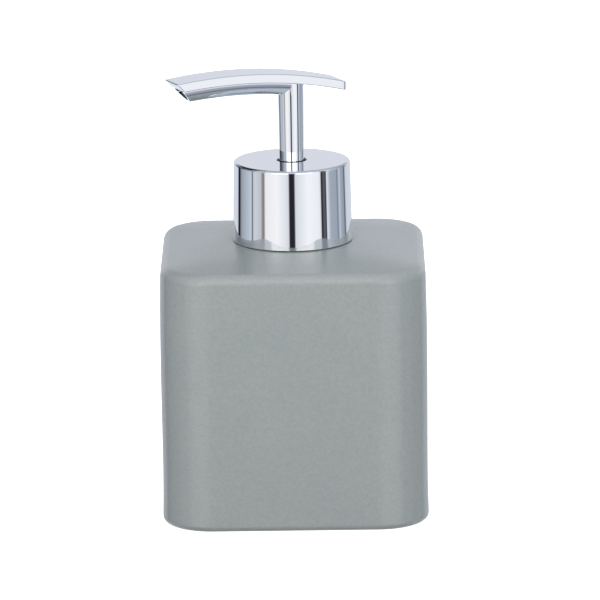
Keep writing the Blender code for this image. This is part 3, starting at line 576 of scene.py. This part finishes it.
def add_thread(bm, radius, depth, start):
    """A right-hand ridge wound round a neck."""
    steps = 96
    crest_start, crest_end, width = 0.5, 0.9, 1.4
    corners = [(radius, start), (radius + depth, start + crest_start), (radius + depth, start + crest_end),
               (radius, start + width)]
    points = [bm.verts.new((reach, 0, height)) for reach, height in corners]
    ridge = bm.faces.new(points)
    bmesh.ops.spin(bm, geom=[ridge], cent=(0, 0, 0), axis=(0, 0, 1), angle=thread_turns * math.tau, steps=steps,
                   dvec=(0, 0, thread_turns * thread_pitch / steps), use_duplicate=False)


def make_pump_housing(material):
    """Moulded barrel: tube socket, ball seat, vent hole, flange and the collar that carries the bush."""
    low, high = span("pump_housing")
    flange, collar, barrel, bore, socket, socket_bore = 13.4, 10.2, 8.6, 7.4, 4.6, 3.4
    seat_mouth, seat_bore, throat, vent_radius, vent_drop, vent_length = 5.0, 1.7, 2.0, 0.6, 4.0, 4
    small, chamfer, shoulder, fillet = 0.2, 0.3, 0.6, 0.8
    seat_lift, shoulder_lift, barrel_lift, chamber_lift = 11.0, 3.3, 4.2, 16.0
    flange_foot_drop, flange_top_drop = 6.7, 5.2
    foot, seat, chamber = low.z, low.z + seat_lift, low.z + chamber_lift
    flange_foot, flange_top = high.z - flange_foot_drop, high.z - flange_top_drop
    profile = [(socket_bore, foot), (socket - chamfer, foot), (socket, foot + chamfer), (socket, seat),
               (barrel - shoulder, seat + shoulder_lift), (barrel, seat + barrel_lift), (barrel, flange_foot - fillet),
               (barrel + fillet, flange_foot), (flange - small, flange_foot), (flange, flange_foot + small),
               (flange, flange_top - small), (flange - small, flange_top), (collar, flange_top),
               (collar, high.z - chamfer), (collar - chamfer, high.z), (bore + small, high.z),
               (bore, high.z - small), (bore, chamber), (seat_mouth, chamber), (seat_bore, seat),
               (seat_bore, seat - throat), (socket_bore, seat - throat)]
    vent = bmesh.new()
    bmesh.ops.create_cone(vent, cap_ends=True, segments=24, radius1=vent_radius, radius2=vent_radius,
                          depth=vent_length)
    bmesh.ops.rotate(vent, verts=vent.verts[:], matrix=Matrix.Rotation(math.pi / 2, 3, "Y"))
    bmesh.ops.translate(vent, verts=vent.verts[:], vec=((bore + barrel) / 2, 0, flange_foot - vent_drop))
    bm = carved(spun(profile, steps=128), [("DIFFERENCE", vent)])
    return finished("pump_housing_moulded", bm, material, "pump_unit", "pump_housing")


def make_dip_tube(material):
    """Extruded tube with a slanted lower end."""
    low, high = span("dip_tube")
    bore, radius, end_slope = 2.1, 3.1, 0.7
    bm = spun([(bore, high.z), (radius, high.z), (radius, low.z), (bore, low.z)], steps=48)
    cut = bmesh.ops.bisect_plane(bm, geom=bm.verts[:] + bm.edges[:] + bm.faces[:], dist=cut_tolerance,
                                 plane_co=(-radius, 0, low.z), plane_no=(end_slope, 0, -1), clear_outer=True)
    bmesh.ops.bridge_loops(bm, edges=[part for part in cut["geom_cut"] if isinstance(part, bmesh.types.BMEdge)])
    return finished("dip_tube_extruded", bm, material, "pump_unit", "dip_tube")


def make_return_spring(material):
    """Drawn wire coil with a closed turn at each end."""
    low, high = span("return_spring")
    wire, turns, turn_steps, ring_steps, end_gap = 0.45, 9, 28, 12, 0.6
    coil = high.x - wire
    bottom, top = low.z + wire, high.z - wire
    closed = 2 * wire + end_gap

    def place(outline, step):
        turn = step / turn_steps
        share = min(turn, 1) + min(max(turn - (turns - 1), 0), 1)
        middle = min(max((turn - 1) / (turns - 2), 0), 1)
        height = bottom + closed * share + (top - bottom - 2 * closed) * middle
        angle = math.tau * turn
        out = coil + outline.x
        return Vector((out * math.cos(angle), out * math.sin(angle), height + outline.y))
    bm = bmesh.new()
    bmesh.ops.create_circle(bm, segments=ring_steps, radius=wire)
    swept(bm, range(turns * turn_steps + 1), place)
    piece = finished("return_spring_wound", bm, material, "pump_unit", "return_spring", sharp=50)
    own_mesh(piece)
    return piece


def make_floor():
    """Plain white paper, lit so evenly that the camera sees no shade on it."""
    bm = bmesh.new()
    bmesh.ops.create_grid(bm, x_segments=1, y_segments=1, size=floor_half)
    bmesh.ops.translate(bm, verts=bm.verts[:], vec=(0, 0, -floor_drop * MM))
    mesh = bpy.data.meshes.new("floor")
    bm.to_mesh(mesh)
    bm.free()
    material, tree, shader = new_material("white_paper")
    shader.inputs["Base Color"].default_value = linear("#cbcbcb")
    shader.inputs["Roughness"].default_value = 0.9
    seen = add_node(tree, "ShaderNodeLightPath").outputs["Is Camera Ray"]
    shader.inputs["Emission Color"].default_value = (1, 1, 1, 1)
    tree.links.new(seen, shader.inputs["Emission Strength"])
    mesh.materials.append(material)
    floor = bpy.data.objects.new("floor", mesh)
    floor.visible_glossy = False
    bpy.context.scene.collection.objects.link(floor)


def make_camera():
    """Long lens, a little above the object, as in the photograph."""
    elevation = math.radians(camera_elevation)
    azimuth = math.radians(camera_azimuth)
    back = Vector((math.sin(azimuth) * math.cos(elevation), -math.cos(azimuth) * math.cos(elevation),
                   math.sin(elevation)))
    data = bpy.data.cameras.new("camera")
    data.sensor_width = sensor_width
    data.lens = data.sensor_width * camera_distance / field_width
    data.shift_x = (picture_pixels / 2 - aim_pixel[0]) / picture_pixels
    data.shift_y = (aim_pixel[1] - picture_pixels / 2) / picture_pixels
    data.clip_end = 100
    camera = bpy.data.objects.new("camera", data)
    bpy.context.scene.collection.objects.link(camera)
    camera.location = Vector((0, 0, aim_height)) + back * camera_distance
    look = (-back).to_track_quat("-Z", "Y").to_matrix().to_4x4()
    camera.matrix_world = (Matrix.Translation(camera.location) @ look
                           @ Matrix.Rotation(math.radians(-camera_roll), 4, "Z"))
    bpy.context.scene.camera = camera


def make_light_tent():
    """A light tent round the object, as a mirror finish shows it: soft boxes with dark gaps between them.

    Azimuths are in degrees from the camera, and positive ones lie to the right.
    """
    world = bpy.data.worlds.new("light_tent")
    world.use_nodes = True
    bpy.context.scene.world = world
    bpy.context.scene.view_settings.view_transform = "Standard"
    tree = world.node_tree
    background = tree.nodes["Background"]
    toward = add_node(tree, "ShaderNodeTexCoord").outputs["Generated"]
    turned_to_camera = add_node(tree, "ShaderNodeMapping",
                                {"Vector": toward, "Rotation": (0, 0, -math.radians(camera_azimuth))})
    axes = add_node(tree, "ShaderNodeSeparateXYZ", {"Vector": turned_to_camera.outputs["Vector"]}).outputs
    nearer = add_node(tree, "ShaderNodeMath", {0: axes["Y"], 1: -1.0}, operation="MULTIPLY")
    azimuth = add_node(tree, "ShaderNodeMath", {0: axes["X"], 1: nearer.outputs["Value"]},
                       operation="ARCTAN2").outputs["Value"]

    def shades(walls):
        """The shade of the wall, all the way round, from its list by azimuth."""
        start, end = walls[0][0], walls[-1][0]
        share = add_node(tree, "ShaderNodeMapRange", {"Value": azimuth, "From Min": math.radians(start),
                                                      "From Max": math.radians(end)})
        node = add_node(tree, "ShaderNodeValToRGB", {"Fac": share.outputs["Result"]})
        ramp = node.color_ramp
        while len(ramp.elements) > 1:
            ramp.elements.remove(ramp.elements[-1])
        for index, (degrees, colour) in enumerate(walls):
            place = (degrees - start) / (end - start)
            stop = ramp.elements[0] if index == 0 else ramp.elements.new(place)
            stop.position = place
            stop.color = linear(colour)
        return node.outputs["Color"]

    def laid_over(under, over, *spans):
        """One shade over another where a direction has passed every one of the spans."""
        reached = None
        for axis, start, end in spans:
            part = add_node(tree, "ShaderNodeMapRange", {"Value": axes[axis], "From Min": start, "From Max": end})
            part = part.outputs["Result"]
            if reached is not None:
                part = add_node(tree, "ShaderNodeMath", {0: reached, 1: part}, operation="MULTIPLY").outputs["Value"]
            reached = part
        return add_node(tree, "ShaderNodeMix", {0: reached, 6: under, 7: over}, data_type="RGBA").outputs[2]
    to_right = add_node(tree, "ShaderNodeMath", {0: azimuth, 1: 0.0}, operation="GREATER_THAN")
    sides = add_node(tree, "ShaderNodeMix", {0: to_right.outputs["Value"], 6: shades(tent_left),
                                             7: shades(tent_right)}, data_type="RGBA")
    gain = add_node(tree, "ShaderNodeMapRange", {"Value": axes["Y"], "From Min": gain_start, "From Max": gain_end,
                                                 "To Min": 1.0, "To Max": soft_box_gain})
    high = add_node(tree, "ShaderNodeVectorMath", {0: shades(tent_high), "Scale": gain.outputs["Result"]},
                    operation="SCALE")
    walls = laid_over(sides.outputs[2], high.outputs["Vector"], *high_spans)
    walls = laid_over(walls, linear(tent_lintel), *lintel_spans)
    walls = laid_over(walls, linear(tent_curtain), *curtain_spans)
    roof = laid_over(linear(tent_roof_front), linear(tent_roof_back), roof_back_span)
    upper = laid_over(walls, roof, roof_span)
    upper = laid_over(upper, linear(tent_dark_corner), *dark_corner_spans)
    front = laid_over(linear(tent_low_front), linear(tent_floor_front), floor_front_span)
    lower = laid_over(front, linear(tent_low_back), low_back_span)
    tree.links.new(laid_over(upper, lower, low_span), background.inputs["Color"])
    background.inputs["Strength"].default_value = tent_strength


def make_lamps():
    """Soft square lamps, turned to the object's foot: one before it and above it, two low behind it."""
    for name, place, power, tint in lamps:
        lamp = bpy.data.lights.new(name, "AREA")
        lamp.shape = "SQUARE"
        lamp.size = lamp_size
        lamp.energy = power
        lamp.color = tint
        holder = bpy.data.objects.new(name, lamp)
        holder.location = place
        holder.rotation_euler = Vector(place).to_track_quat("Z", "Y").to_euler()
        holder.visible_glossy = False
        bpy.context.scene.collection.objects.link(holder)


def build():
    """The stage, the materials, the new pieces, and the materials of the CAD nodes that stay in sight."""
    make_camera()
    make_light_tent()
    make_lamps()
    make_floor()
    stoneware = stoneware_material()
    chrome = chrome_material()
    steel = steel_material()
    white = moulded_material("white_polypropylene", "#e9e8e3", "#e2e2de", 0.38, 0.25, 0.02)
    milky = moulded_material("milky_polyethylene", "#e6eaea", "#dde3e4", 0.32, 0.4, 0.01, 0.35)
    rubber = moulded_material("grey_elastomer", "#56565a", "#4c4c50", 0.66, 0.15, 0.02)
    collar_top = span("collar_cover")[1].z
    make_container(stoneware)
    make_collar_cover(chrome)
    make_spout_stem(chrome, collar_top)
    make_head_bow(chrome, collar_top)
    make_neck_ring(white)
    make_pump_housing(white)
    make_dip_tube(milky)
    make_return_spring(steel)
    kept = {"guide_bush": white, "ball_keeper": white, "screw_cap": white,
            "spring_follower": white, "piston_rod": white, "piston": milky, "nozzle_liner": milky,
            "neck_gasket": rubber, "stem_wiper": rubber, "inlet_ball": steel, "discharge_ball": steel}
    for name, material in kept.items():
        nodes[name].data.materials.clear()
        nodes[name].data.materials.append(material)


build()
